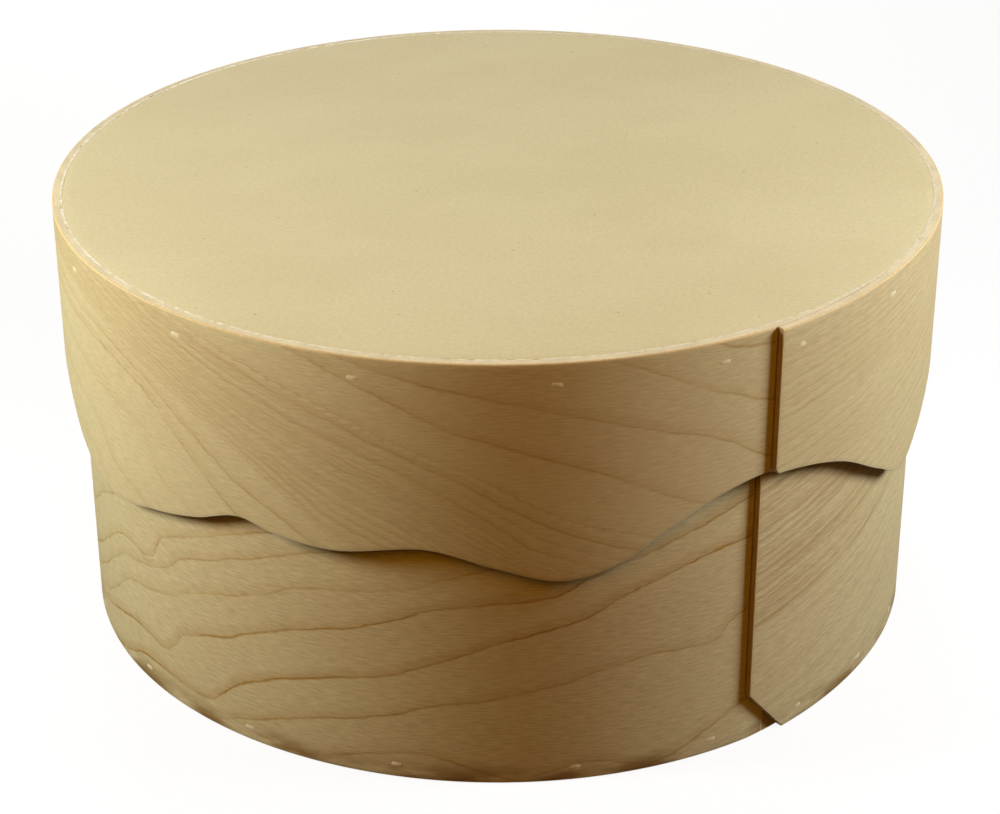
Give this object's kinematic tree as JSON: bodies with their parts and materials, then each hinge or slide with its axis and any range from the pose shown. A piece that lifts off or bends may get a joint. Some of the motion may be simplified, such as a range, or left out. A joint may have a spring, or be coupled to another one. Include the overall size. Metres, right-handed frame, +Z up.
{
  "type": "round bentwood box",
  "caption": "Round box of bent plywood bands lapped, glued and pegged round board panels, with a deep lift-off lid that has a wavy lower edge.",
  "frame": {"origin": "on the table, under the middle of the closed box", "axes": "+Z up, out through the lid; -Y towards the front, which has the lapped seam to its right"},
  "size_m": [0.38, 0.38, 0.19],
  "materials": {
    "panel_board": "smooth sanded fibreboard, unfinished",
    "panel_glue": "dried pale wood glue and filler",
    "peg_wood": "pale wood, trimmed and sanded flush",
    "back_veneer": "plain pale veneer, sanded, unfinished",
    "core_veneer": "cross-grain veneer, end grain showing at the edges",
    "lid_veneer": "rotary-cut pale veneer with brown growth lines, sanded, unfinished",
    "base_veneer": "rotary-cut pale veneer with brown growth lines, sanded, unfinished",
    "lap_glue": "thin film of dried glue"
  },
  "bodies": {
    "base": {"base_panel": "panel_board", "base_panel_glue": "panel_glue", "base_pegs": "peg_wood", "base_back_ply": "back_veneer", "base_core_ply": "core_veneer", "base_face_ply": "base_veneer", "base_lap_glue": "lap_glue"},
    "lid": {"lid_panel": "panel_board", "lid_panel_glue": "panel_glue", "lid_pegs": "peg_wood", "lid_back_ply": "back_veneer", "lid_core_ply": "core_veneer", "lid_face_ply": "lid_veneer", "lid_lap_glue": "lap_glue"}
  },
  "joints": [
    {"name": "lid_lift", "type": "slide", "parent": "base", "child": "lid", "axis": [0, 0, 1], "range_m": [0, 0.2]}
  ]
}
